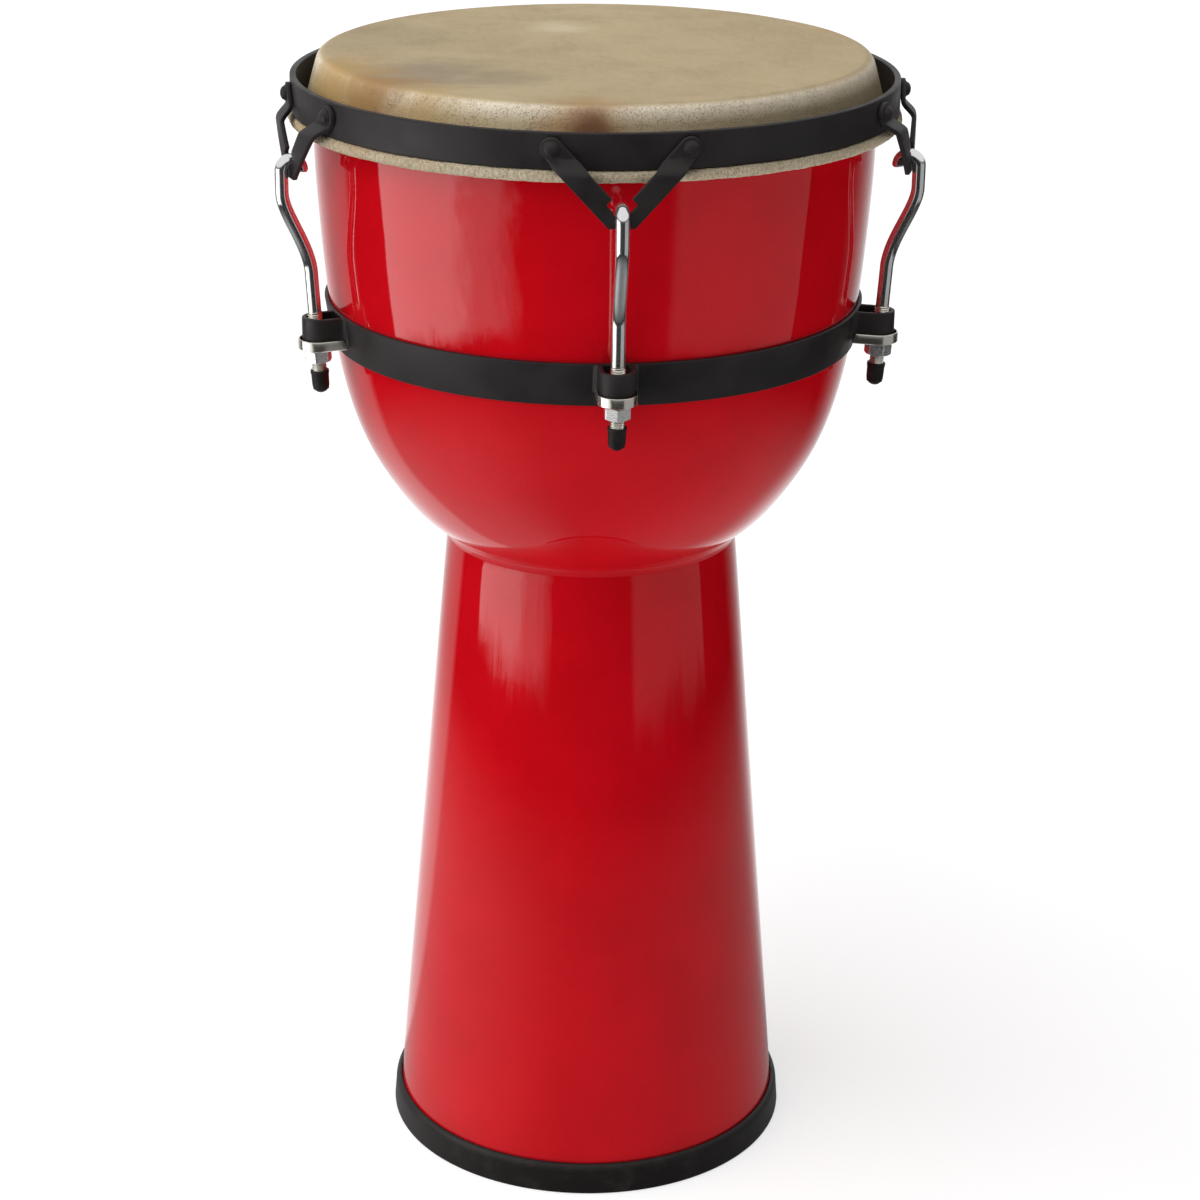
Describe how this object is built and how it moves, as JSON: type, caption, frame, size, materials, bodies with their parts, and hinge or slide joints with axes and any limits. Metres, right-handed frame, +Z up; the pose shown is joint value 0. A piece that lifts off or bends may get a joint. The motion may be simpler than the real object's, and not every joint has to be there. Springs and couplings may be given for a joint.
{
  "type": "djembe",
  "caption": "Goblet-shaped hand drum: glossy lacquered hollow shell, natural skin head, and a steel rim drawn down by claws, hooked rods and nuts.",
  "frame": {"origin": "on the floor plane, at the bottom centre of the whole drum's bounding box; the shell's own axis is upright at x 0, y +7.65 mm", "axes": "+Z up along the shell's axis, -Y towards lug 1, +X to the right as seen from lug 1"},
  "size_m": [0.3434, 0.3451, 0.638],
  "materials": {
    "red_lacquer": "deep red high-gloss lacquer over a wooden shell",
    "black_steel": "satin black powder coat on flat steel",
    "chrome_plate": "bright chrome plate on steel wire and pressed plate",
    "zinc_plate": "bright zinc plate on steel nuts",
    "black_rubber": "matt black moulded rubber",
    "rawhide": "cloudy tan natural skin, speckled and slightly hairy at its tucked edge",
    "bare_steel": "plain round steel bar, hidden in the skin's tuck"
  },
  "bodies": {
    "shell": {"shell_bowl": "red_lacquer", "shell_stem": "red_lacquer", "foot_ring": "black_rubber", "belt_band": "black_steel", "drum_skin": "rawhide", "lug_loop_1": "black_steel", "lug_loop_2": "black_steel", "lug_loop_3": "black_steel", "lug_loop_4": "black_steel", "lug_loop_5": "black_steel", "lug_washer_1": "chrome_plate", "lug_washer_2": "chrome_plate", "lug_washer_3": "chrome_plate", "lug_washer_4": "chrome_plate", "lug_washer_5": "chrome_plate"},
    "rim": {"counter_hoop": "black_steel", "flesh_hoop": "bare_steel", "claw_1": "black_steel", "claw_2": "black_steel", "claw_3": "black_steel", "claw_4": "black_steel", "claw_5": "black_steel", "claw_rivet_1_left": "black_steel", "claw_rivet_1_right": "black_steel", "claw_rivet_2_left": "black_steel", "claw_rivet_2_right": "black_steel", "claw_rivet_3_left": "black_steel", "claw_rivet_3_right": "black_steel", "claw_rivet_4_left": "black_steel", "claw_rivet_4_right": "black_steel", "claw_rivet_5_left": "black_steel", "claw_rivet_5_right": "black_steel"},
    "rod_1": {"tension_rod_1": "chrome_plate", "rod_cap_1": "black_rubber"},
    "rod_2": {"tension_rod_2": "chrome_plate", "rod_cap_2": "black_rubber"},
    "rod_3": {"tension_rod_3": "chrome_plate", "rod_cap_3": "black_rubber"},
    "rod_4": {"tension_rod_4": "chrome_plate", "rod_cap_4": "black_rubber"},
    "rod_5": {"tension_rod_5": "chrome_plate", "rod_cap_5": "black_rubber"},
    "nut_1": {"tuning_nut_1": "zinc_plate"},
    "nut_2": {"tuning_nut_2": "zinc_plate"},
    "nut_3": {"tuning_nut_3": "zinc_plate"},
    "nut_4": {"tuning_nut_4": "zinc_plate"},
    "nut_5": {"tuning_nut_5": "zinc_plate"}
  },
  "joints": [
    {"name": "nut_1_turn", "type": "hinge", "parent": "shell", "child": "nut_1", "pos_m": [0, -0.15125, 0.484], "axis": [0, -0.061, 0.9981], "range_deg": [-870, 1740]},
    {"name": "nut_2_turn", "type": "hinge", "parent": "shell", "child": "nut_2", "pos_m": [0.15112, -0.04145, 0.484], "axis": [0.0581, -0.0189, 0.9981], "range_deg": [-870, 1740]},
    {"name": "nut_3_turn", "type": "hinge", "parent": "shell", "child": "nut_3", "pos_m": [0.0934, 0.1362, 0.484], "axis": [0.0359, 0.0494, 0.9981], "range_deg": [-870, 1740]},
    {"name": "nut_4_turn", "type": "hinge", "parent": "shell", "child": "nut_4", "pos_m": [-0.0934, 0.1362, 0.484], "axis": [-0.0359, 0.0494, 0.9981], "range_deg": [-870, 1740]},
    {"name": "nut_5_turn", "type": "hinge", "parent": "shell", "child": "nut_5", "pos_m": [-0.15112, -0.04145, 0.484], "axis": [-0.0581, -0.0189, 0.9981], "range_deg": [-870, 1740]},
    {"name": "rim_slide", "type": "slide", "parent": "shell", "child": "rim", "axis": [0, 0, 1], "range_m": [-0.006, 0.003], "deforming": ["drum_skin"]},
    {"name": "rod_1_slide", "type": "slide", "parent": "shell", "child": "rod_1", "axis": [0, -0.061, 0.9981], "range_m": [-0.00605, 0.00305]},
    {"name": "rod_2_slide", "type": "slide", "parent": "shell", "child": "rod_2", "axis": [0.0581, -0.0189, 0.9981], "range_m": [-0.00605, 0.00305]},
    {"name": "rod_3_slide", "type": "slide", "parent": "shell", "child": "rod_3", "axis": [0.0359, 0.0494, 0.9981], "range_m": [-0.00605, 0.00305]},
    {"name": "rod_4_slide", "type": "slide", "parent": "shell", "child": "rod_4", "axis": [-0.0359, 0.0494, 0.9981], "range_m": [-0.00605, 0.00305]},
    {"name": "rod_5_slide", "type": "slide", "parent": "shell", "child": "rod_5", "axis": [-0.0581, -0.0189, 0.9981], "range_m": [-0.00605, 0.00305]}
  ],
  "couplings": [
    {"joint": "nut_1_turn", "follows": "rim_slide", "rad_per_m": -5035.9},
    {"joint": "nut_2_turn", "follows": "rim_slide", "rad_per_m": -5035.9},
    {"joint": "nut_3_turn", "follows": "rim_slide", "rad_per_m": -5035.9},
    {"joint": "nut_4_turn", "follows": "rim_slide", "rad_per_m": -5035.9},
    {"joint": "nut_5_turn", "follows": "rim_slide", "rad_per_m": -5035.9},
    {"joint": "rod_1_slide", "follows": "rim_slide", "ratio": 1.0019},
    {"joint": "rod_2_slide", "follows": "rim_slide", "ratio": 1.0019},
    {"joint": "rod_3_slide", "follows": "rim_slide", "ratio": 1.0019},
    {"joint": "rod_4_slide", "follows": "rim_slide", "ratio": 1.0019},
    {"joint": "rod_5_slide", "follows": "rim_slide", "ratio": 1.0019}
  ]
}
